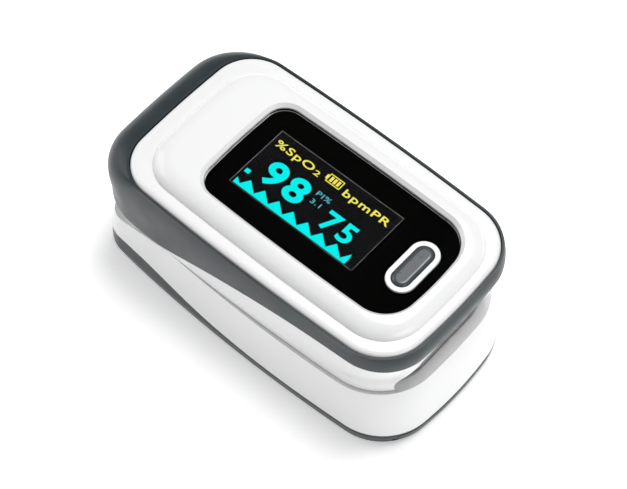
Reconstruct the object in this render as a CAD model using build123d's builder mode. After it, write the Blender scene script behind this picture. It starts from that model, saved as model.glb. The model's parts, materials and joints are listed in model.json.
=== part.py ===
"""Fingertip pulse oximeter, closed. X runs towards the finger opening, Z is up, millimetres.

The origin is under the middle of the body, on the surface that it stands on.
"""

import math
import os
from collections import namedtuple

from build123d import *

os.makedirs("parts", exist_ok=True)

# Driving dimensions
body_length = 61.4
lens_top = 27.2
crown_top = 27.75
rim_top = 25.9
band_top = 25.5
parting = 13.2
parting_gap = 0.08
ridge = 2.0
wall = 1.2

# Hinge
pivot_x = -14.5
pivot_z = 15.0
pin_radius = 1.0
ear_radius = 1.8
ear_thickness = 1.6
lower_ear_y = 10.0
upper_ear_y = 11.9

# Batteries: two AAA cells side by side, nose to tail
cell_radius = 5.25
cell_length = 44.5
nub_length, nub_radius = 1.2, 1.9
cell_y = 6.3
cell_z = 6.5
left_cell_rear = -17.6
right_cell_rear = -19.3
spring_room = 2.2
contact_thickness = 0.4

# Finger tunnel
tunnel_stop = -9.0
tunnel_z = 14.0
tunnel_half = 10.6
tunnel_rise = 6.4
mouth = body_length / 2 + 2

# Display, board and button
lens_thickness = 0.8
mask_thickness = 0.1
plate_top = lens_top - lens_thickness - mask_thickness
plate_bottom = plate_top - 1.0
window_length, window_width = 23.9, 11.95
window_x = 2.05
button_x = 20.5
button_length, button_width = 8.1, 3.0
board_top = 22.9
board_thickness = 0.8
board_bottom = board_top - board_thickness
sensor_x = 8.0

# Battery door
door_rear = -12.0
door_half = 11.8
tongue_half = 12.4

Outline = namedtuple("Outline", "rear front half_rear half_mid half_front rear_bow front_bow rear_r front_r")

cover_plan = Outline(-25.0, 28.1, 15.0, 15.65, 14.9, 0.6, 1.0, 7.0, 7.8)
crown_plan = Outline(-22.1, 26.8, 13.0, 13.5, 13.0, 0.6, 0.8, 6.8, 7.4)
lens_plan = Outline(-13.0, 23.7, 9.7, 9.95, 9.55, 0.4, 0.8, 3.4, 5.4)
band_plan = Outline(-30.0, 28.9, 15.6, 16.45, 15.5, 0.7, 1.1, 8.3, 8.4)
base_plan = Outline(-29.6, 29.1, 15.0, 16.7, 15.35, 0.5, 1.8, 4.0, 9.4)
flank_plan = Outline(-29.2, 28.9, 14.8, 16.5, 15.2, 0.5, 1.5, 4.4, 10.0)
deck_plan = Outline(-28.0, 28.4, 14.0, 16.0, 14.6, 0.5, 0.9, 5.0, 10.4)
jaw_plan = Outline(-29.5, 28.4, 15.1, 16.0, 14.6, 0.7, 0.9, 8.0, 10.2)


def grown(plan, side, rear=None, front=None):
    """The same outline moved outwards, or inwards where a value is negative."""
    rear = side if rear is None else rear
    front = side if front is None else front
    return plan._replace(
        rear=plan.rear - rear,
        front=plan.front + front,
        half_rear=plan.half_rear + side,
        half_mid=plan.half_mid + side,
        half_front=plan.half_front + side,
        rear_r=max(plan.rear_r + side, 0.6),
        front_r=max(plan.front_r + side, 0.6),
    )


def outline(plan, height):
    """Face with four bowed sides and rounded corners, at a height."""
    middle = (plan.rear + plan.front) / 2
    rear_edge = plan.rear - plan.rear_bow
    front_edge = plan.front + plan.front_bow
    with BuildSketch(Plane.XY.offset(height)) as section:
        with BuildLine():
            ThreePointArc((plan.rear, -plan.half_rear), (middle, -plan.half_mid), (plan.front, -plan.half_front))
            ThreePointArc((plan.front, -plan.half_front), (front_edge, 0), (plan.front, plan.half_front))
            ThreePointArc((plan.front, plan.half_front), (middle, plan.half_mid), (plan.rear, plan.half_rear))
            ThreePointArc((plan.rear, plan.half_rear), (rear_edge, 0), (plan.rear, -plan.half_rear))
        make_face()
        fillet(section.vertices().group_by(Axis.X)[-1], plan.front_r)
        fillet(section.vertices().group_by(Axis.X)[0], plan.rear_r)
    return section.sketch


def form(levels, ruled=False):
    """Solid through one outline at each height."""
    with BuildPart() as solid:
        loft(sections=[outline(plan, height) for height, plan in levels], ruled=ruled)
    return solid.part


def prism(plan, bottom, top):
    """Straight-sided solid of an outline."""
    with BuildPart() as solid:
        extrude(outline(plan, bottom), amount=top - bottom)
    return solid.part


def seam_block(curve, above):
    """Everything above or below a side-view curve, across the whole width."""
    far_edge = 60 if above else -60
    with BuildPart() as solid:
        with BuildSketch(Plane.XZ):
            with BuildLine():
                seam = Spline(*curve)
                Polyline(seam @ 1, (curve[-1][0], far_edge), (curve[0][0], far_edge), seam @ 0)
            make_face()
        extrude(amount=40, both=True)
    return solid.part


def block(x, y, z):
    """Box between two limits on each axis."""
    with BuildPart() as solid:
        with BuildSketch(Plane.XY.offset(z[0])):
            with Locations(((x[0] + x[1]) / 2, (y[0] + y[1]) / 2)):
                Rectangle(x[1] - x[0], y[1] - y[0])
        extrude(amount=z[1] - z[0])
    return solid.part


def posts(places, radius, bottom, top):
    """Upright round posts, or the material of round holes."""
    with BuildPart() as solid:
        with BuildSketch(Plane.XY.offset(bottom)):
            with Locations(*places):
                Circle(radius)
        extrude(amount=top - bottom)
    return solid.part


def capsule(length, width, bottom, top):
    """Upright capsule that lies across the body at the button."""
    with BuildPart() as solid:
        with BuildSketch(Plane.XY.offset(bottom)):
            with Locations((button_x, 0)):
                SlotOverall(length, width, rotation=90)
        extrude(amount=top - bottom)
    return solid.part


def window(margin, bottom, top):
    """Block the size of the display's window, with a margin all round."""
    half_x, half_y = window_length / 2 + margin, window_width / 2 + margin
    return block((window_x - half_x, window_x + half_x), (-half_y, half_y), (bottom, top))


def tunnel(half_width, half_height, start=tunnel_stop):
    """Elliptical finger tunnel that widens towards its mouth."""
    with BuildPart() as bore:
        for x, flare in ((start, 0), (22, 0.2), (mouth, 0.6)):
            with BuildSketch(Plane.YZ.offset(x)):
                with Locations((0, tunnel_z)):
                    Ellipse(half_width + flare, half_height + flare / 2)
        loft()
    return bore.part


def ears(middle, root_z):
    """A pair of hinge ears, one each side, with their pin hole."""
    with BuildPart() as pair:
        for side in (-1, 1):
            with BuildSketch(Plane.XZ.offset(side * middle)):
                with Locations((pivot_x, pivot_z)):
                    Circle(ear_radius)
                with Locations((pivot_x, (pivot_z + root_z) / 2)):
                    Rectangle(2 * ear_radius, abs(pivot_z - root_z))
                with Locations((pivot_x, pivot_z)):
                    Circle(pin_radius + 0.05, mode=Mode.SUBTRACT)
            extrude(amount=ear_thickness / 2, both=True)
    return pair.part


def coil(start, direction, radius, wire, pitch, turns):
    """Round wire spring that starts at a point and runs in a direction."""
    with BuildPart() as spring:
        with BuildLine():
            path = Helix(pitch, pitch * turns, radius, center=start, direction=direction)
        with BuildSketch(Plane(path @ 0, z_dir=path % 0)):
            Circle(wire)
        sweep(is_frenet=True)
    return spring.part


def finish(builder, name):
    """Names a finished piece and writes it."""
    builder.part.label = name
    export_step(builder.part, f"parts/{name}.step")


# Side-view seams: the lower edge of the band, and the upper edge of the dark bottom cover
band_seam = [(-32, 14.7), (-25, 14.0), (-19.4, 13.6), (-10, 16.5), (0, 19.8), (10, 21.8), (20, 22.5), (33, 22.0)]
trim_seam = [(-32, 4.9), (-25.5, 5.3), (-19, 5.2), (-10, 3.8), (0, 2.8), (12, 2.6), (33, 2.5)]

upper_levels = [
    (band_top, grown(cover_plan, 0.45)),
    (band_top - 1.3, grown(band_plan, -0.15, rear=-1.6, front=-0.1)),
    (band_top - 2.9, grown(band_plan, 0, rear=-0.3, front=-0.05)),
    (band_top - 5.5, grown(band_plan, 0.05, rear=0, front=-0.5)),
    (parting + 3.5, grown(jaw_plan, 0.35, front=0.15)),
    (parting + parting_gap, jaw_plan),
]


def upper_form(inset):
    """Outer form of the upper jaw, moved inwards."""
    return form([(height, grown(plan, -inset)) for height, plan in upper_levels])


# Lower jaw ---------------------------------------------------------------------------

lower_levels = [(ridge, base_plan), (parting / 2 + 1.4, flank_plan), (parting + 0.6, deck_plan)]
lower_body = form(lower_levels)
lower_foot = form([(0, grown(base_plan, -0.55)), (0.5, grown(base_plan, -0.2)), (ridge, base_plan)], ruled=True)
deck_z = parting - parting_gap
ceiling_z = deck_z - 1.15
bed_half = 10.3
bed_rear, bed_front = tunnel_stop + 0.2, 27.6
tail_screws = [(-23.5, -9.5), (-23.5, 9.5)]


def bed(inset, bottom, top):
    """Plate under the finger, whose front follows the deck's outline."""
    with BuildPart() as plate:
        with BuildSketch(Plane.XY.offset(bottom)):
            with Locations(((bed_rear + bed_front) / 2, 0)):
                RectangleRounded(bed_front - bed_rear - 2 * inset, 2 * (bed_half - inset), 0.6)
        extrude(amount=top - bottom)
        add(prism(grown(deck_plan, -1.5 - inset), bottom, top), mode=Mode.INTERSECT)
    return plate.part


# Deck of the lower jaw: level along the parting, then down to the tail
with BuildPart() as above_deck:
    with BuildSketch(Plane.XZ):
        with BuildLine():
            Polyline((40, deck_z), (pivot_x, deck_z), (-32, 8.6), (-32, 40), (40, 40), close=True)
        make_face()
    extrude(amount=30, both=True)

# Hollow of the lower jaw
with BuildPart() as lower_room:
    floor_plan = grown(base_plan, -1.9)
    side_plan = grown(base_plan, -wall)
    roof_plan = grown(deck_plan, -wall - 0.1)
    loft(sections=[outline(floor_plan, wall), outline(side_plan, ridge), outline(roof_plan, ceiling_z)], ruled=True)
    with Locations((0, 0, -1.1)):
        add(above_deck.part, mode=Mode.SUBTRACT)

# The tail's underside rises clear of the table
with BuildPart() as tail_rise:
    with BuildSketch(Plane.XZ):
        with BuildLine():
            rise = ThreePointArc((-14, 0), (-22.5, 0.45), (-32, 2.2))
            Polyline(rise @ 1, (-32, -5), (-14, -5), rise @ 0)
        make_face()
    extrude(amount=30, both=True)

with BuildPart() as bottom_cover:
    add(lower_foot)
    add(lower_body)
    add(seam_block(trim_seam, above=False), mode=Mode.INTERSECT)
    add(lower_room.part, mode=Mode.SUBTRACT)
    add(posts(tail_screws, 2.6, wall, 3.0))
    add(posts(tail_screws, 1.7, 0, 2.0), mode=Mode.SUBTRACT)
    add(posts(tail_screws, 0.85, 0, 4.0), mode=Mode.SUBTRACT)
    add(tail_rise.part, mode=Mode.SUBTRACT)
    add(block((door_rear, 40), (-door_half, door_half), (-1, ridge + 0.2)), mode=Mode.SUBTRACT)
    add(block((door_rear, 40), (-tongue_half - 0.1, tongue_half + 0.1), (0.55, 1.15)), mode=Mode.SUBTRACT)
finish(bottom_cover, "bottom_cover")

with BuildPart() as battery_door:
    add(lower_foot)
    add(block((door_rear + 0.1, 40), (0.1 - door_half, door_half - 0.1), (0.12, ridge + 0.05)), mode=Mode.INTERSECT)
    add(lower_room.part, mode=Mode.SUBTRACT)
    add(block((door_rear + 0.1, 24.5), (-tongue_half, tongue_half), (0.65, 1.05)))
    with BuildSketch(Plane.XY):
        with GridLocations(1.8, 0, 6, 1):
            with Locations((18, 0)):
                SlotOverall(11, 0.8, rotation=90)
    extrude(amount=0.4, mode=Mode.SUBTRACT)
finish(battery_door, "battery_door")

with BuildPart() as lower_housing:
    add(lower_body)
    add(seam_block(trim_seam, above=True), mode=Mode.INTERSECT)
    add(above_deck.part, mode=Mode.SUBTRACT)
    add(lower_room.part, mode=Mode.SUBTRACT)
    add(bed(0, ceiling_z - 1, deck_z + 1), mode=Mode.SUBTRACT)
    add(block((-11.8, -10.6), (-2.4, 2.4), (ceiling_z - 1, deck_z + 1)), mode=Mode.SUBTRACT)
    add(posts(tail_screws, 2.0, 3.0, 9.6))
    add(posts(tail_screws, 0.7, 2.9, 8.0), mode=Mode.SUBTRACT)
    with BuildSketch(Plane.YZ.offset(right_cell_rear - 0.4)):
        with Locations((-cell_y, cell_z), (cell_y, cell_z)):
            Circle(cell_radius + 0.1)
    extrude(amount=cell_length + spring_room + 0.6, mode=Mode.SUBTRACT)
    add(ears(lower_ear_y, deck_z - 0.6))
finish(lower_housing, "lower_housing")

with BuildPart() as lower_screws:
    add(posts(tail_screws, 1.5, 1.1, 2.0))
    add(posts(tail_screws, 0.7, 2.0, 7.0))
    with BuildSketch(Plane.XY.offset(1.1)):
        with Locations(*tail_screws):
            Rectangle(1.8, 0.35)
            Rectangle(0.35, 1.8)
    extrude(amount=0.45, mode=Mode.SUBTRACT)
finish(lower_screws, "lower_screws")


def cell(rear, y, nub_at_front):
    """AAA cell along X: a can with a narrow shoulder and its raised positive end."""
    can = cell_length - nub_length
    start = rear if nub_at_front else rear + cell_length
    facing = 1 if nub_at_front else -1
    with BuildPart() as battery:
        with BuildSketch(Plane((start, y, cell_z), x_dir=(facing, 0, 0), z_dir=(0, facing, 0))):
            with BuildLine():
                Polyline((0, 0), (0, -4.6), (0.5, -cell_radius), (can - 0.5, -cell_radius), (can, -4.4), (can, 0), close=True)
            make_face()
        revolve(axis=Axis((start, y, cell_z), (1, 0, 0)))
        with BuildSketch(Plane((start + facing * can, y, cell_z), z_dir=(facing, 0, 0))):
            Circle(nub_radius)
        extrude(amount=nub_length)
    return battery


finish(cell(left_cell_rear, -cell_y, True), "battery_left")
finish(cell(right_cell_rear, cell_y, False), "battery_right")

rear_plate = left_cell_rear - spring_room
front_plate = right_cell_rear + cell_length + spring_room

with BuildPart() as rear_contacts:
    add(block((rear_plate - contact_thickness, rear_plate), (-10.2, 10.2), (3.5, 9.2)))
    with BuildSketch(Plane.YZ.offset(rear_plate)):
        with Locations((cell_y, cell_z)):
            Circle(2.2)
    extrude(amount=right_cell_rear - rear_plate, taper=20)
finish(rear_contacts, "rear_contacts")

with BuildPart() as front_contacts:
    left_plate = left_cell_rear + cell_length
    add(block((left_plate, left_plate + contact_thickness), (-cell_y - 2.1, -cell_y + 2.6), (3.8, 8.9)))
    add(block((front_plate, front_plate + contact_thickness), (cell_y - 2.6, cell_y + 2.1), (3.8, 8.9)))
finish(front_contacts, "front_contacts")

with BuildPart() as contact_springs:
    wire = 0.2
    turns = 3
    rise_per_turn = (spring_room - 2 * wire) / turns
    add(coil((rear_plate + wire, -cell_y, cell_z), (1, 0, 0), 2.6, wire, rise_per_turn, turns))
    add(coil((front_plate - wire, cell_y, cell_z), (-1, 0, 0), 2.6, wire, rise_per_turn, turns))
finish(contact_springs, "contact_springs")

# Cradle that holds the cells from above and between
with BuildPart() as lower_frame:
    add(block((rear_plate - 0.9, front_plate + 0.8), (-13.2, 13.2), (1.5, 10.95)))
    add(lower_room.part, mode=Mode.INTERSECT)
    add(block((rear_plate - 0.5, front_plate + 0.5), (-cell_y - 5.35, -cell_y + 5.35), (0, cell_z)), mode=Mode.SUBTRACT)
    add(block((rear_plate - 0.5, front_plate + 0.5), (cell_y - 5.35, cell_y + 5.35), (0, cell_z)), mode=Mode.SUBTRACT)
    with BuildSketch(Plane.YZ.offset(rear_plate - 0.5)):
        with Locations((-cell_y, cell_z), (cell_y, cell_z)):
            Circle(cell_radius + 0.1)
    extrude(amount=front_plate - rear_plate + 1.0, mode=Mode.SUBTRACT)
    add(block((rear_plate - 0.45, rear_plate + 0.05), (-10.3, 10.3), (3.4, 9.3)), mode=Mode.SUBTRACT)
finish(lower_frame, "lower_frame")

with BuildPart() as finger_bed:
    add(bed(0.1, ceiling_z + 0.05, ceiling_z + 0.45))
    add(block((sensor_x - 2.7, sensor_x + 2.7), (-2.2, 2.2), (0, 20)), mode=Mode.SUBTRACT)
finish(finger_bed, "finger_bed")

bed_top = ceiling_z + 0.45

with BuildPart() as lower_pad:
    add(bed(0.15, bed_top, bed_top + 1.15))
    add(block((sensor_x - 2.7, sensor_x + 2.7), (-2.2, 2.2), (0, 20)), mode=Mode.SUBTRACT)
    with BuildSketch(Plane.YZ.offset(-20)):
        with Locations((0, bed_top + 0.4 + 60)):
            Circle(60)
    extrude(amount=60, mode=Mode.SUBTRACT)
finish(lower_pad, "lower_pad")

with BuildPart() as sensor_board:
    add(block((sensor_x - 5, sensor_x + 5), (-2.6, 2.6), (11.0, 11.5)))
finish(sensor_board, "sensor_board")

with BuildPart() as photodiode:
    add(block((sensor_x - 1.6, sensor_x + 1.6), (-1.4, 1.4), (11.5, 12.3)))
    chamfer(photodiode.edges().group_by(Axis.Z)[-1], 0.2)
finish(photodiode, "photodiode")

with BuildPart() as sensor_window:
    add(block((sensor_x - 2.6, sensor_x + 2.6), (-2.1, 2.1), (12.35, bed_top + 0.4)))
finish(sensor_window, "sensor_window")

with BuildPart() as hinge_pin:
    with BuildSketch(Plane.XZ.offset(-13.4)):
        with Locations((pivot_x, pivot_z)):
            Circle(pin_radius)
    extrude(amount=26.8)
    chamfer(hinge_pin.edges().filter_by(GeomType.CIRCLE), 0.2)
finish(hinge_pin, "hinge_pin")

with BuildPart() as torsion_springs:
    wire = 0.3
    coil_radius = 1.5
    for side in (-1, 1):
        add(coil((pivot_x, side * 3.2, pivot_z), (0, side, 0), coil_radius, wire, 0.75, 5))
        with BuildSketch(Plane.YZ.offset(pivot_x)):
            with Locations((side * 3.4, pivot_z - coil_radius)):
                Circle(wire)
        extrude(amount=3.4)
        with BuildSketch(Plane.YZ.offset(pivot_x)):
            with Locations((side * 6.9, pivot_z + coil_radius)):
                Circle(wire)
        extrude(amount=-2.6)
finish(torsion_springs, "torsion_springs")

# Upper jaw ---------------------------------------------------------------------------

cover_bottom = 24.05
cover_screws = [(-20.5, -8.8), (-20.5, 8.8), (19.5, -11.6), (19.5, 11.6)]
screw_seat = 19.4
room_inset = 2.2
well_front, well_rear, well_top = -10.2, -17.5, 19.5
tail_floor = 15.0

band_inside = upper_form(1.15)

with BuildPart() as behind_band:
    add(band_inside)
    add(block((-40, 40), (-20, 20), (0, cover_bottom)), mode=Mode.INTERSECT)

with BuildPart() as upper_band:
    add(upper_form(0))
    add(seam_block(band_seam, above=True), mode=Mode.INTERSECT)
    add(behind_band.part, mode=Mode.SUBTRACT)
    add(prism(grown(cover_plan, 0.12), cover_bottom - 0.01, 30), mode=Mode.SUBTRACT)
finish(upper_band, "upper_band")

# Hollow of the upper jaw, above the tunnel's roof, the hinge well and the tail floor
with BuildPart() as upper_room:
    add(upper_form(room_inset))
    add(block((-40, 40), (-20, 20), (0, parting + 1.4)), mode=Mode.SUBTRACT)
    add(tunnel(tunnel_half + wall, tunnel_rise + wall, tunnel_stop - wall), mode=Mode.SUBTRACT)
    add(block((well_rear - wall, tunnel_stop), (-20, 20), (0, well_top + wall)), mode=Mode.SUBTRACT)
    add(block((-40, well_rear), (-20, 20), (0, tail_floor + wall)), mode=Mode.SUBTRACT)

with BuildPart() as under_tail:
    add(upper_form(room_inset))
    add(block((-40, well_rear), (-20, 20), (0, tail_floor)), mode=Mode.INTERSECT)

with BuildPart() as upper_inner_shell:
    add(upper_form(0.3))
    add(seam_block(band_seam, above=False), mode=Mode.INTERSECT)
    add(band_inside)
    add(block((-40, 40), (-20, 20), (0, cover_bottom)), mode=Mode.INTERSECT)
    add(upper_room.part, mode=Mode.SUBTRACT)
    add(under_tail.part, mode=Mode.SUBTRACT)
    add(tunnel(tunnel_half, tunnel_rise), mode=Mode.SUBTRACT)
    add(block((well_rear, well_front), (-14.0, 14.0), (0, well_top)), mode=Mode.SUBTRACT)
    add(posts(cover_screws, 1.85, screw_seat - 1.4, board_bottom - 0.1))
    add(posts(cover_screws, 1.4, 0, screw_seat), mode=Mode.SUBTRACT)
    add(posts(cover_screws, 0.85, 0, 30), mode=Mode.SUBTRACT)
    add(block((sensor_x - 2.7, sensor_x + 2.7), (-2.2, 2.2), (19, 23)), mode=Mode.SUBTRACT)
    add(block((-11.8, -10.6), (-2.4, 2.4), (19, 22)), mode=Mode.SUBTRACT)
    add(ears(upper_ear_y, well_top + 0.5))
finish(upper_inner_shell, "upper_inner_shell")

with BuildPart() as upper_screws:
    add(posts(cover_screws, 1.3, screw_seat - 1, screw_seat))
    add(posts(cover_screws, 0.8, screw_seat, 24.2))
    with BuildSketch(Plane.XY.offset(screw_seat - 1)):
        with Locations(*cover_screws):
            Rectangle(1.8, 0.35)
            Rectangle(0.35, 1.8)
    extrude(amount=0.5, mode=Mode.SUBTRACT)
finish(upper_screws, "upper_screws")


# Crown of the top cover: its shoulder is a quarter of an ellipse
def crown_level(turn):
    """Height and outline of the crown at an angle round its shoulder, in degrees."""
    height = 25.6 + (crown_top - 25.6) * math.sin(math.radians(turn))
    inset = 2.9 * (1 - math.cos(math.radians(turn)))
    return height, grown(crown_plan, -inset)


with BuildPart() as top_cover:
    extrude(outline(cover_plan, cover_bottom), amount=rim_top - cover_bottom)
    fillet(top_cover.edges().group_by(Axis.Z)[-1], 0.9)
    add(form([crown_level(turn) for turn in (0, 30, 58, 78, 90)]))
    add(prism(grown(cover_plan, -1.3), 20, 24.8), mode=Mode.SUBTRACT)
    add(prism(grown(crown_plan, -1.3), 20, plate_bottom), mode=Mode.SUBTRACT)
    add(posts(cover_screws, 1.7, board_bottom, 25.0))
    add(posts(cover_screws, 0.8, 20, 24.3), mode=Mode.SUBTRACT)
    add(capsule(9.8, 4.7, plate_bottom, 27.0))
    add(window(0.5, 20, 30), mode=Mode.SUBTRACT)
    seat = grown(lens_plan, 0.08)
    loft(
        sections=[outline(seat, plate_top), outline(seat, lens_top), outline(grown(seat, 0.65), lens_top + 0.7)],
        ruled=True,
        mode=Mode.SUBTRACT,
    )
    add(capsule(9.8, 4.7, plate_bottom, 27.5))
    add(capsule(8.3, 3.2, 20, 30), mode=Mode.SUBTRACT)
finish(top_cover, "top_cover")

with BuildPart() as display_lens:
    extrude(outline(lens_plan, plate_top + mask_thickness), amount=lens_thickness)
    chamfer(display_lens.edges().group_by(Axis.Z)[-1], 0.12)
    add(capsule(9.95, 4.85, 20, 30), mode=Mode.SUBTRACT)
finish(display_lens, "display_lens")

with BuildPart() as lens_mask:
    extrude(outline(grown(lens_plan, -0.1), plate_top), amount=mask_thickness)
    add(window(0, 20, 30), mode=Mode.SUBTRACT)
    add(capsule(9.95, 4.85, 20, 30), mode=Mode.SUBTRACT)
finish(lens_mask, "lens_mask")

with BuildPart() as oled_panel:
    add(block((window_x - 13.35, window_x + 13.35), (-9.6, 9.6), (24.0, plate_bottom - 0.05)))
    add(window(0.4, 24.0, plate_top - 0.02))
finish(oled_panel, "oled_panel")

with BuildPart() as oled_frame:
    with BuildSketch(Plane.XY.offset(board_top)):
        with Locations((window_x, 0)):
            Rectangle(26.4, 18.6)
            Rectangle(21, 13, mode=Mode.SUBTRACT)
    extrude(amount=24.0 - board_top)
finish(oled_frame, "oled_frame")

with BuildPart() as main_board:
    with BuildSketch(Plane.XY.offset(board_bottom)):
        with Locations((3.2, 0)):
            RectangleRounded(42.5, 18.6, 1)
    extrude(amount=board_thickness)
finish(main_board, "main_board")

with BuildPart() as processor_chip:
    add(block((-16.8, -12.6), (-5.5, 1.5), (21.1, board_bottom)))
finish(processor_chip, "processor_chip")

with BuildPart() as tact_switch:
    add(block((button_x - 2.2, button_x + 2.2), (-2.2, 2.2), (board_top, 23.9)))
    with BuildSketch(Plane.XY.offset(23.9)):
        with Locations((button_x, 0)):
            Circle(1.0)
    extrude(amount=0.35)
finish(tact_switch, "tact_switch")

with BuildPart() as power_button:
    add(capsule(button_length, button_width, 24.6, 27.75))
    fillet(power_button.edges().group_by(Axis.Z)[-1], 0.7)
    add(capsule(9.1, 4.0, 24.6, 25.25))
finish(power_button, "power_button")

with BuildPart() as upper_pad:
    add(tunnel(tunnel_half - 0.05, tunnel_rise - 0.05, tunnel_stop + 0.1))
    add(tunnel(tunnel_half - 0.9, tunnel_rise - 0.9, tunnel_stop - 1), mode=Mode.SUBTRACT)
    add(block((-20, 27.6), (-20, 20), (13.7, 30)), mode=Mode.INTERSECT)
    add(upper_form(1.1), mode=Mode.INTERSECT)
    add(block((sensor_x - 2.7, sensor_x + 2.7), (-2.2, 2.2), (10, 30)), mode=Mode.SUBTRACT)
finish(upper_pad, "upper_pad")

with BuildPart() as led_emitter:
    add(block((sensor_x - 2.0, sensor_x + 2.0), (-1.6, 1.6), (21.2, board_bottom)))
    chamfer(led_emitter.edges().group_by(Axis.Z)[0], 0.2)
finish(led_emitter, "led_emitter")

with BuildPart() as led_window:
    add(block((sensor_x - 2.6, sensor_x + 2.6), (-2.1, 2.1), (19.6, 21.1)))
finish(led_window, "led_window")

# Ribbon from the main board, down past the pin, to the sensor board
with BuildPart() as flex_cable:
    with BuildSketch(Plane.XZ):
        with BuildLine():
            FilletPolyline((-11.2, board_bottom), (-11.2, 11.65), (3.0, 11.65), radius=0.8)
        trace(line_width=0.16)
    extrude(amount=2.0, both=True)
finish(flex_cable, "flex_cable")
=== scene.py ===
import json
import math

import bmesh
import bpy
from mathutils import Matrix, Vector


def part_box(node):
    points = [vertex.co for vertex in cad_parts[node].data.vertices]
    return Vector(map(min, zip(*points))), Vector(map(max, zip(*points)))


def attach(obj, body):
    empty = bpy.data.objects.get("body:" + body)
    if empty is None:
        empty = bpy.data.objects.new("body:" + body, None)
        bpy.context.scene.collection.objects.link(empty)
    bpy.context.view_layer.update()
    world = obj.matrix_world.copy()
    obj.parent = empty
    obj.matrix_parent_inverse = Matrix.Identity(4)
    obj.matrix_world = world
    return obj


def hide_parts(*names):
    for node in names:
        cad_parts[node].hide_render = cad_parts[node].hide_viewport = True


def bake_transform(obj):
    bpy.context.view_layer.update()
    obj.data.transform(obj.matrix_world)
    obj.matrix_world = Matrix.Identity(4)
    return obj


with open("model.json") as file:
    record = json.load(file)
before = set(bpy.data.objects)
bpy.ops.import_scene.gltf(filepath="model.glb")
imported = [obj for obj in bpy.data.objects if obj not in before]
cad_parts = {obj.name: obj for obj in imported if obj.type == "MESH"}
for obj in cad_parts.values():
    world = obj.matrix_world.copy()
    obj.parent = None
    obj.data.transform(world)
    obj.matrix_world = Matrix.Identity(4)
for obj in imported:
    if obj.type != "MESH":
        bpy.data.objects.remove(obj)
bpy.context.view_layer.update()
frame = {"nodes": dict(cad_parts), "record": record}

MM = 0.001
nodes = frame["nodes"]

# Materials ---------------------------------------------------------------------------


class Material:
    """A node material with short calls for the details that the pieces share."""

    def __init__(self, name, **values):
        self.material = bpy.data.materials.new(name)
        self.material.use_nodes = True
        self.tree = self.material.node_tree
        self.shader = self.tree.nodes["Principled BSDF"]
        for socket, value in values.items():
            self.shader.inputs[socket.replace("_", " ")].default_value = value
        self.place = self.node("ShaderNodeTexCoord").outputs["Object"]

    def node(self, kind, **settings):
        made = self.tree.nodes.new(kind)
        for name, value in settings.items():
            setattr(made, name, value)
        return made

    def link(self, source, target):
        self.tree.links.new(source, target)

    def noise(self, grain, detail=2.0, stretch=(1, 1, 1)):
        """Noise whose grains are about so many millimetres across."""
        mapping = self.node("ShaderNodeMapping")
        mapping.inputs["Scale"].default_value = stretch
        texture = self.node("ShaderNodeTexNoise")
        texture.inputs["Scale"].default_value = 1 / (grain * MM)
        texture.inputs["Detail"].default_value = detail
        self.link(self.place, mapping.inputs["Vector"])
        self.link(mapping.outputs["Vector"], texture.inputs["Vector"])
        return texture.outputs["Fac"]

    def bump(self, height, depth):
        """Makes the surface rise and fall with a factor, by so many millimetres."""
        bump = self.node("ShaderNodeBump")
        bump.inputs["Distance"].default_value = depth * MM
        bump.inputs["Strength"].default_value = 1.0
        self.link(height, bump.inputs["Height"])
        self.link(bump.outputs["Normal"], self.shader.inputs["Normal"])

    def blend(self, factor, socket, low, high, start=0.3, end=0.7):
        """Runs a shader input between two colours or two greys as a factor goes from start to end."""
        ramp = self.node("ShaderNodeValToRGB")
        for stop, position, value in zip(ramp.color_ramp.elements, (start, end), (low, high)):
            stop.position = position
            stop.color = value if isinstance(value, tuple) else grey(value)
        self.link(factor, ramp.inputs["Fac"])
        self.link(ramp.outputs["Color"], self.shader.inputs[socket])


def grey(value):
    return (value, value, value, 1.0)


# Glossy white moulding: an even skin, its polish a little softer in places, with a dust-fine texture
white = Material(
    "white_gloss", Coat_Weight=0.4, Coat_Roughness=0.1, Base_Color=(0.815, 0.816, 0.82, 1)
)
white.blend(white.noise(20, 0), "Roughness", 0.26, 0.3, 0, 1)
white.bump(white.noise(0.12, 1), 0.0004)

# Satin slate: spark-eroded grain, rubbed a little smoother in patches
slate = Material("slate_satin", Specular_IOR_Level=0.3)
slate_dark, slate_light = (0.022, 0.031, 0.035, 1), (0.028, 0.037, 0.041, 1)
slate.blend(slate.noise(7, 3), "Base Color", slate_dark, slate_light)
slate.blend(slate.noise(3.5, 4), "Roughness", 0.3, 0.4)
slate.bump(slate.noise(0.11, 2), 0.004)

# The button is lighter and rubbed smoother by fingers
button_slate = Material("button_slate", IOR=1.5, Coat_Weight=0.25, Coat_Roughness=0.2)
button_dark, button_light = (0.040, 0.050, 0.055, 1), (0.052, 0.063, 0.068, 1)
button_slate.blend(button_slate.noise(2, 3), "Base Color", button_dark, button_light)
button_slate.blend(button_slate.noise(1.2, 4), "Roughness", 0.26, 0.38)
button_slate.bump(button_slate.noise(0.1, 2), 0.003)

lens = Material(
    "lens_clear", Transmission_Weight=1.0, IOR=1.2, Specular_IOR_Level=0.2, Base_Color=grey(0.97)
)
lens.blend(lens.noise(5, 3), "Roughness", 0.0, 0.025)
lens.bump(lens.noise(9, 1), 0.0006)

film = Material("black_film", Base_Color=grey(0.0035), Specular_IOR_Level=0.2)
film.blend(film.noise(2.5, 3), "Roughness", 0.28, 0.34)
film.bump(film.noise(3), 0.001)

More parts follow.
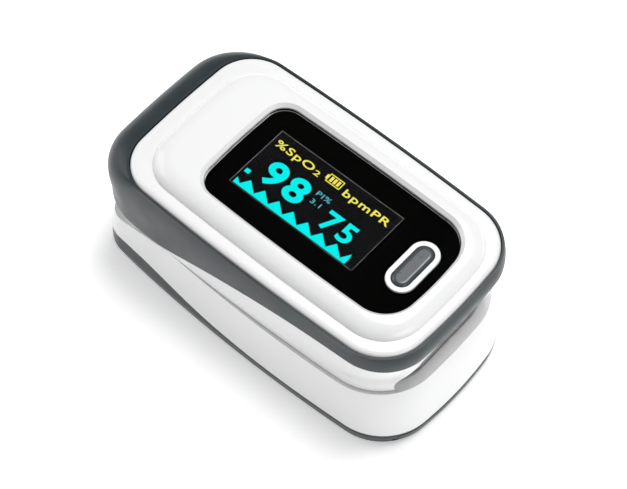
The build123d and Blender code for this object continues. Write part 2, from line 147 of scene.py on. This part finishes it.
# Display glass: a very dark panel with a fine grid of dots
dot_pitch = 0.18 * MM
dot_colour, gap_colour = (0.003, 0.003, 0.004, 1), (0.001, 0.001, 0.0015, 1)
panel = Material("display_glass", Specular_IOR_Level=0.04)
dots = panel.node("ShaderNodeTexVoronoi", distance="CHEBYCHEV")
dots.inputs["Scale"].default_value = 1 / dot_pitch
dots.inputs["Randomness"].default_value = 0
panel.link(panel.place, dots.inputs["Vector"])
panel.blend(dots.outputs["Distance"], "Base Color", dot_colour, gap_colour, 0.25, 0.5)
panel.blend(panel.noise(3), "Roughness", 0.12, 0.2)


def lit(name, colour, strength):
    """Lit dots of the display, a little uneven in brightness."""
    glow = Material(name, Base_Color=(0, 0, 0, 1), Emission_Strength=strength, Roughness=0.4)
    glow.shader.inputs["Specular IOR Level"].default_value = 0
    dimming = 0.93
    dim = tuple(channel * dimming for channel in colour[:3]) + (1,)
    glow.blend(glow.noise(0.35, 3), "Emission Color", dim, colour)
    return glow


cyan = lit("lit_cyan", (0.0, 0.93, 0.9, 1), 1.0)
pale_cyan = lit("lit_pale_cyan", (0.12, 0.62, 0.72, 1), 0.8)
yellow = lit("lit_yellow", (0.93, 0.86, 0.12, 1), 1.0)

border = Material("window_edge", Specular_IOR_Level=0.2)
border.blend(border.noise(2, 3), "Base Color", grey(0.1), grey(0.16))
border.blend(border.noise(0.6), "Roughness", 0.3, 0.5)

silicone = Material(
    "silicone", Subsurface_Weight=0.5, Sheen_Weight=0.1, IOR=1.41, Base_Color=grey(0.82)
)
silicone.shader.inputs["Subsurface Radius"].default_value = (0.003, 0.0026, 0.0024)
silicone.shader.inputs["Subsurface Scale"].default_value = 0.5
silicone.blend(silicone.noise(1.5, 4), "Roughness", 0.4, 0.6)
silicone.bump(silicone.noise(0.2, 3), 0.01)

foam = Material("foam", Specular_IOR_Level=0.1)
foam.blend(foam.noise(0.25, 3), "Base Color", grey(0.008), grey(0.03))
foam.blend(foam.noise(0.3), "Roughness", 0.8, 0.95)
foam.bump(foam.noise(0.22, 3), 0.06)

# Circuit board: green mask over tracks that show as slightly raised bands
track_scale = 260
mask_green, track_green = (0.006, 0.075, 0.03, 1), (0.02, 0.16, 0.06, 1)
board = Material("board", IOR=1.5, Coat_Weight=0.4, Coat_Roughness=0.15)
tracks = board.node("ShaderNodeTexBrick", offset=0.5)
tracks.inputs["Scale"].default_value = track_scale
tracks.inputs["Mortar Size"].default_value = 0.035
tracks.inputs["Mortar Smooth"].default_value = 0.2
board.link(board.place, tracks.inputs["Vector"])
board.blend(tracks.outputs["Fac"], "Base Color", mask_green, track_green, 0.4, 0.6)
board.blend(board.noise(2), "Roughness", 0.3, 0.45)
board.bump(tracks.outputs["Fac"], 0.03)

black_parts = Material("component_black")
black_parts.blend(black_parts.noise(0.5, 3), "Base Color", grey(0.012), grey(0.024))
black_parts.blend(black_parts.noise(0.3), "Roughness", 0.45, 0.65)
black_parts.bump(black_parts.noise(0.12, 3), 0.01)

# Drawn steel: fine lines along the wire
steel = Material("steel", Metallic=1.0)
steel.blend(steel.noise(0.5, 3, (1, 9, 1)), "Roughness", 0.18, 0.38)
steel.blend(steel.noise(3, 2), "Base Color", (0.56, 0.56, 0.58, 1), (0.68, 0.68, 0.7, 1))
steel.bump(steel.noise(0.12, 3, (1, 12, 1)), 0.004)

clear = Material(
    "window_clear", Transmission_Weight=0.85, IOR=1.45, Base_Color=(0.9, 0.93, 0.95, 1)
)
clear.blend(clear.noise(1.5, 3), "Roughness", 0.03, 0.12)
clear.bump(clear.noise(1), 0.01)

# Battery wrap: shrunk plain dark film, slightly wavy
wrap = Material("cell_wrap", Coat_Weight=0.6, Coat_Roughness=0.1)
wrap.blend(wrap.noise(3, 3), "Base Color", (0.03, 0.035, 0.04, 1), (0.05, 0.055, 0.06, 1))
wrap.blend(wrap.noise(1.5, 3), "Roughness", 0.25, 0.4)
wrap.bump(wrap.noise(5, 2, (0.4, 1, 1)), 0.03)

inner = Material("inner_plastic")
inner.blend(inner.noise(4, 3), "Base Color", grey(0.6), grey(0.68))
inner.blend(inner.noise(2, 3), "Roughness", 0.45, 0.6)
inner.bump(inner.noise(0.15), 0.004)

# Ribbon: amber film over copper strands that run along it
strand_scale = 330
film_amber, copper_amber = (0.30, 0.12, 0.015, 1), (0.55, 0.27, 0.05, 1)
ribbon = Material("ribbon", Coat_Weight=0.3, Coat_Roughness=0.2)
strands = ribbon.node("ShaderNodeTexWave", bands_direction="Y")
strands.inputs["Scale"].default_value = strand_scale
ribbon.link(ribbon.place, strands.inputs["Vector"])
ribbon.blend(strands.outputs["Fac"], "Base Color", film_amber, copper_amber, 0.4, 0.6)
ribbon.blend(ribbon.noise(1), "Roughness", 0.3, 0.45)
ribbon.bump(strands.outputs["Fac"], 0.01)

slot_finish = {
    "white_shell": white,
    "dark_shell": slate,
    "lens": lens,
    "black_film": film,
    "display": panel,
    "silicone": silicone,
    "foam": foam,
    "board": board,
    "black_parts": black_parts,
    "steel": steel,
    "clear_window": clear,
    "cell_wrap": wrap,
    "inner_plastic": inner,
    "ribbon": ribbon,
}
for subpart in frame["record"]["subparts"]:
    node = nodes[subpart["node"]]
    for holder in node.material_slots:
        holder.material = slot_finish[subpart["material_slot"]].material
for holder in nodes["power_button"].material_slots:
    holder.material = button_slate.material


def piece(name, shape, finish, body, smooth=False):
    """Makes an object from a bmesh, with its material and body (or None)."""
    mesh = bpy.data.meshes.new(name)
    bmesh.ops.recalc_face_normals(shape, faces=shape.faces)
    shape.to_mesh(mesh)
    shape.free()
    mesh.polygons.foreach_set("use_smooth", [smooth] * len(mesh.polygons))
    mesh.materials.append(finish.material)
    made = bpy.data.objects.new(name, mesh)
    bpy.context.scene.collection.objects.link(made)
    if body:
        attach(made, body)
    return made


# Display -----------------------------------------------------------------------------

display_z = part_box("oled_panel")[1].z + 0.012 * MM
glyph_depth = 0.02 * MM


def flat_prism(target, outline):
    """Adds a thin upright prism over an outline in millimetres to a bmesh."""
    bottom = [target.verts.new((x * MM, y * MM, display_z)) for x, y in outline]
    top = [target.verts.new((x * MM, y * MM, display_z + glyph_depth)) for x, y in outline]
    target.faces.new(list(reversed(bottom)))
    target.faces.new(top)
    for i in range(len(outline)):
        j = (i + 1) % len(outline)
        target.faces.new((bottom[i], bottom[j], top[j], top[i]))


def rectangle(x0, x1, y0, y1):
    return [(x0, y0), (x1, y0), (x1, y1), (x0, y1)]


def frame_sides(x0, x1, y0, y1, line):
    """Four rectangles, as (x0, x1, y0, y1), that make a frame of one line width."""
    return [
        (x0, x1, y0, y0 + line),
        (x0, x1, y1 - line, y1),
        (x0, x0 + line, y0 + line, y1 - line),
        (x1 - line, x1, y0 + line, y1 - line),
    ]


def flat_text(text, weight=0.0, spacing=1.0):
    """Flat mesh of a text in the built-in font, one unit high."""
    curve = bpy.data.curves.new("text_outline", "FONT")
    curve.body = text
    curve.offset = weight
    curve.resolution_u = 6
    curve.space_character = spacing
    holder = bpy.data.objects.new("text_outline", curve)
    bpy.context.scene.collection.objects.link(holder)
    flat = bpy.data.meshes.new_from_object(holder)
    bpy.data.objects.remove(holder)
    return flat


def lettering(name, lines, finish):
    """One mesh of short texts, each (text, left, baseline, height, width, weight, spacing), in mm."""
    joined = bmesh.new()
    for text, left, baseline, height, width, weight, spacing in lines:
        flat = flat_text(text, weight, spacing)
        xs = [v.co.x for v in flat.vertices]
        tallest = flat_text("1" if text[0].isdigit() else "P")
        cap = max(v.co.y for v in tallest.vertices)
        fit = Matrix.Diagonal((width * MM / (max(xs) - min(xs)), height * MM / cap, 1, 1))
        place = Matrix.Translation((left * MM, baseline * MM, display_z))
        flat.transform(place @ fit @ Matrix.Translation((-min(xs), 0, 0)))
        joined.from_mesh(flat)
        bpy.data.meshes.remove(flat)
    solid = bmesh.ops.extrude_face_region(joined, geom=joined.faces[:])
    raised = [v for v in solid["geom"] if isinstance(v, bmesh.types.BMVert)]
    bmesh.ops.translate(joined, verts=raised, vec=(0, 0, glyph_depth))
    piece(name, joined, finish, "upper_jaw")


lettering(
    "display_units",
    [
        ("%SpO", -9.1, 3.25, 1.25, 7.35, 0.014, 1.12),
        ("2", -1.4, 3.1, 0.9, 1.0, 0.012, 1.0),
        ("bpmPR", 4.3, 3.1, 1.25, 8.7, 0.016, 1.12),
    ],
    yellow,
)
lettering(
    "display_readings",
    [
        ("98", -7.1, -2.75, 4.1, 7.7, 0.03, 1.16),
        ("75", 5.0, -3.15, 3.2, 5.55, 0.026, 1.2),
    ],
    cyan,
)
lettering(
    "display_index",
    [
        ("PI%", 1.4, 0.6, 0.85, 2.6, 0.004, 1.1),
        ("3.1", 1.55, -0.95, 0.8, 1.8, 0.004, 1.1),
    ],
    pale_cyan,
)

# Battery gauge: an outline with a nub at its left end and three bars
gauge = bmesh.new()
left, right, bottom, top, gauge_line = 0.75, 3.45, 3.4, 5.0, 0.16
nub_length, nub_inset = 0.3, 0.4
bar_margin, bar_pitch, bar_width, bar_inset = 0.5, 0.66, 0.44, 0.32
for sides in frame_sides(left, right, bottom, top, gauge_line):
    flat_prism(gauge, rectangle(*sides))
flat_prism(gauge, rectangle(left - nub_length, left, bottom + nub_inset, top - nub_inset))
for bar in range(3):
    start = left + bar_margin + bar * bar_pitch
    flat_prism(gauge, rectangle(start, start + bar_width, bottom + bar_inset, top - bar_inset))
piece("display_gauge", gauge, yellow, "upper_jaw")

# Pulse wave: a row of teeth that rise steeply and fall slowly, and the beat square
wave = bmesh.new()
tooth, rise, floor_y, valley_y, peak_y = 2.8, 0.95, -5.7, -5.3, -3.8
wave_start, wave_end, first_valley_x = (-9.35, -4.6), (12.4, -4.4), -8.35
beat_square = (-9.35, -8.5, -3.25, -2.5)
ridge_line = [wave_start]
for beat in range(8):
    valley_x = first_valley_x + beat * tooth
    ridge_line += [(valley_x, valley_y), (valley_x + rise, peak_y)]
ridge_line.append(wave_end)
for (x0, y0), (x1, y1) in zip(ridge_line, ridge_line[1:]):
    flat_prism(wave, [(x0, floor_y), (x1, floor_y), (x1, y1), (x0, y0)])
flat_prism(wave, rectangle(*beat_square))
piece("display_wave", wave, cyan, "upper_jaw")

# Grey edge of the display's window
edge = bmesh.new()
window, edge_width = (-9.9, 14.0, -5.975, 5.975), 0.13
for sides in frame_sides(*window, edge_width):
    flat_prism(edge, rectangle(*sides))
piece("display_window_edge", edge, border, "upper_jaw")

# Silicone pads ------------------------------------------------------------------------

sensor_low, sensor_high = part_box("sensor_window")
light_low, light_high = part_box("led_window")


def skin(name, rows, columns, inner_point, outer_point, hole, body, node):
    """Closed pad from an inner and an outer grid, with an opening where hole(s, t) is true."""
    grid = bmesh.new()

    def lattice(point):
        return [
            [grid.verts.new(point(i / rows, j / columns)) for j in range(columns + 1)]
            for i in range(rows + 1)
        ]

    inside = lattice(inner_point)
    outside = lattice(outer_point)
    for i in range(rows):
        for j in range(columns):
            if hole((i + 0.5) / rows, (j + 0.5) / columns):
                continue
            corners = ((i, j), (i + 1, j), (i + 1, j + 1), (i, j + 1))
            grid.faces.new([inside[a][b] for a, b in corners])
            grid.faces.new([outside[a][b] for a, b in reversed(corners)])
    pairs = {}
    for inside_row, outside_row in zip(inside, outside):
        pairs.update(zip(inside_row, outside_row))
    open_edges = [e for e in grid.edges if len(e.link_faces) == 1]
    for e in [e for e in open_edges if all(v in pairs for v in e.verts)]:
        a, b = e.verts
        grid.faces.new((a, b, pairs[b], pairs[a]))
    loose = [v for v in grid.verts if not v.link_faces]
    bmesh.ops.delete(grid, geom=loose, context="VERTS")
    made = piece(name, grid, silicone, body, smooth=True)
    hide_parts(node)
    return made


rib_pitch = 2.4 * MM
rib_side = 8.5 * MM


def ripple(x, y, height):
    """Height of the grip ribs, which run across the finger and die out towards the sides."""
    fade = max(0.0, 1 - (y / rib_side) ** 4)
    return height * fade * (0.5 + 0.5 * math.cos(2 * math.pi * x / rib_pitch))


def rounded_front(y, end_x, centre_x, radius, straight):
    """Distance to a front edge whose corners are arcs outside the straight middle."""
    into = max(0.0, y - straight)
    return min(end_x, centre_x + math.sqrt(radius**2 - into**2))


pad_low, pad_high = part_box("upper_pad")
arch_z = 14.0 * MM
roof_inside = (9.65 * MM, 5.45 * MM)
roof_outside = (10.35 * MM, 6.15 * MM)
roof_half_width = 10.4 * MM
mouth_flare = 0.6 * MM
flare_length = 41.7 * MM
roof_rib_height = 0.16 * MM
lip_depth = 0.35 * MM
lip_share = 0.035
roof_corner = {"centre_x": 18.2 * MM, "radius": 9.6 * MM, "straight": 4.0 * MM}


def arch(x, t, half_width, half_height):
    """Point of the tunnel's elliptical roof, from one side (t 0) to the other (t 1)."""
    flare = mouth_flare * (x - pad_low.x) / flare_length
    angle = math.pi * (0.01 + 0.98 * t)
    y = -(half_width + flare) * math.cos(angle)
    return Vector((x, y, arch_z + (half_height + flare / 2) * math.sin(angle)))


def upper_x(s, t):
    """Distance along the tunnel: the pad's front edge follows the shell's rounded corners."""
    side = abs(math.cos(math.pi * t)) * roof_half_width
    front = rounded_front(side, pad_high.x, **roof_corner)
    return pad_low.x + s * (front - pad_low.x)


def upper_inside(s, t):
    x = upper_x(s, t)
    p = arch(x, t, *roof_inside)
    lip = lip_depth * max(0.0, 1 - (1 - s) / lip_share) ** 2
    towards = Vector((0, -p.y, arch_z - p.z)).normalized()
    return p + towards * (ripple(x, p.y, roof_rib_height) - lip)


def upper_outside(s, t):
    return arch(upper_x(s, t), t, *roof_outside)


def upper_hole(s, t):
    p = arch(upper_x(s, t), t, *roof_inside)
    return light_low.x < p.x < light_high.x and light_low.y < p.y < light_high.y


skin("upper_cushion", 150, 96, upper_inside, upper_outside, upper_hole, "upper_jaw", "upper_pad")

bed_low, bed_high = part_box("lower_pad")
bed_rib_height = 0.14 * MM
middle_thickness = 0.4 * MM
side_thickness = 1.12 * MM
dish_radius = 60 * MM
rim_width = 0.8 * MM
rim_drop = 0.3 * MM
deck_corner = {"centre_x": 18.6 * MM, "radius": 8.6 * MM, "straight": 4.2 * MM}


def lower_place(s, t):
    """Plan position: the pad's front edge follows the deck's rounded corners."""
    y = bed_low.y + t * (bed_high.y - bed_low.y)
    front = rounded_front(abs(y), bed_high.x, **deck_corner)
    return bed_low.x + s * (front - bed_low.x), y


def lower_top(s, t):
    """Top of the pad: a shallow dish with ribs and a rim that rounds off."""
    x, y = lower_place(s, t)
    dish = middle_thickness + dish_radius - math.sqrt(dish_radius**2 - y * y)
    along = bed_high.x - bed_low.x
    rim = min(s * along, (1 - s) * along, bed_high.y - abs(y)) / rim_width
    round_off = rim_drop * max(0.0, 1 - rim) ** 2
    z = bed_low.z + min(dish, side_thickness) + ripple(x, y, bed_rib_height) - round_off
    return Vector((x, y, min(z, bed_high.z)))


def lower_bottom(s, t):
    x, y = lower_place(s, t)
    return Vector((x, y, bed_low.z))


def lower_hole(s, t):
    x, y = lower_place(s, t)
    return sensor_low.x < x < sensor_high.x and sensor_low.y < y < sensor_high.y


skin("lower_cushion", 150, 90, lower_top, lower_bottom, lower_hole, "lower_jaw", "lower_pad")

# Ribbon between the jaws ---------------------------------------------------------------

ribbon_low, ribbon_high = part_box("flex_cable")
thick = 0.16 * MM
bend = 0.8 * MM
foot_z = ribbon_low.z
drop = ribbon_high.z - foot_z - bend
run = ribbon_high.x - ribbon_low.x - bend
drop_steps, run_steps = 40, 30
route = [(ribbon_low.x, ribbon_high.z - drop * k / drop_steps) for k in range(drop_steps + 1)]
for angle in (math.radians(degrees) for degrees in range(10, 91, 10)):
    bend_x = ribbon_low.x + bend * (1 - math.cos(angle))
    bend_z = foot_z + bend * (1 - math.sin(angle))
    route.append((bend_x, bend_z))
route += [(ribbon_low.x + bend + run * k / run_steps, foot_z) for k in range(1, run_steps + 1)]
lanes = [ribbon_low.y, -0.5 * ribbon_high.y, 0.0, 0.5 * ribbon_high.y, ribbon_high.y]
strip = bmesh.new()
rings = []
for k, (x, z) in enumerate(route):
    before, after = route[max(k - 1, 0)], route[min(k + 1, len(route) - 1)]
    along = Vector((after[0] - before[0], after[1] - before[1])).normalized()
    across = Vector((-along.y, along.x)) * thick
    ring = [strip.verts.new((x, y, z)) for y in lanes]
    ring += [strip.verts.new((x + across.x, y, z + across.y)) for y in reversed(lanes)]
    rings.append(ring)
for first, second in zip(rings, rings[1:]):
    for k in range(len(first)):
        m = (k + 1) % len(first)
        strip.faces.new((first[k], first[m], second[m], second[k]))
strip.faces.new(rings[0])
strip.faces.new(list(reversed(rings[-1])))
ribbon_piece = piece("ribbon_cable", strip, ribbon, None)
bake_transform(ribbon_piece)
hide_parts("flex_cable")

# Floor, light and camera --------------------------------------------------------------

half_floor = 1.5
floor_gap = 0.02 * MM
floor_corners = [
    (x * half_floor, y * half_floor, 0) for x, y in ((-1, -1), (1, -1), (1, 1), (-1, 1))
]
floor_mesh = bpy.data.meshes.new("floor")
floor_mesh.from_pydata(floor_corners, [], [(0, 1, 2, 3)])
# The floor glows faintly, which keeps the shadow light
floor_finish = Material(
    "floor",
    Base_Color=grey(0.97),
    Roughness=0.9,
    Specular_IOR_Level=0.0,
    Emission_Color=grey(1.0),
    Emission_Strength=0.34,
)
floor_mesh.materials.append(floor_finish.material)
floor = bpy.data.objects.new("floor", floor_mesh)
floor.location.z = -floor_gap
bpy.context.scene.collection.objects.link(floor)

world = bpy.data.worlds.new("studio")
world.use_nodes = True
world.node_tree.nodes["Background"].inputs["Color"].default_value = (1.0, 1.0, 1.0, 1)
world.node_tree.nodes["Background"].inputs["Strength"].default_value = 0.24
bpy.context.scene.world = world


light_aim = Vector((0, 0, 0.01))


def softbox(name, place, size, power):
    """Soft light that faces the object: place and size in metres, power in watts."""
    light = bpy.data.lights.new(name, "AREA")
    light.shape = "RECTANGLE"
    light.size, light.size_y = size
    light.energy = power
    holder = bpy.data.objects.new(name, light)
    holder.location = place
    holder.rotation_euler = (light_aim - Vector(place)).to_track_quat("-Z", "Y").to_euler()
    bpy.context.scene.collection.objects.link(holder)


softbox("key", (0.02, 0.16, 0.48), (0.25, 0.25), 2.05)
softbox("left", (-0.5, -0.15, 0.25), (0.4, 0.4), 0.95)
softbox("front", (0.45, -0.1, 0.16), (0.3, 0.25), 0.6)

# The camera looks down over the finger end's right-hand corner
view_azimuth, view_elevation = math.radians(41.26), math.radians(58.04)
back = Vector(
    (
        math.sin(view_azimuth) * math.cos(view_elevation),
        -math.cos(view_azimuth) * math.cos(view_elevation),
        math.sin(view_elevation),
    )
)
camera_data = bpy.data.cameras.new("camera")
camera_data.sensor_width = 36.0
camera_data.lens = 114.26
camera_data.clip_start = 0.01
camera = bpy.data.objects.new("camera", camera_data)
camera.location = Vector((107.64, -120.95, 271.28)) * MM
camera.rotation_euler = (-back).to_track_quat("-Z", "Y").to_euler()
bpy.context.scene.collection.objects.link(camera)
bpy.context.scene.camera = camera
bpy.context.scene.view_settings.view_transform = "Standard"
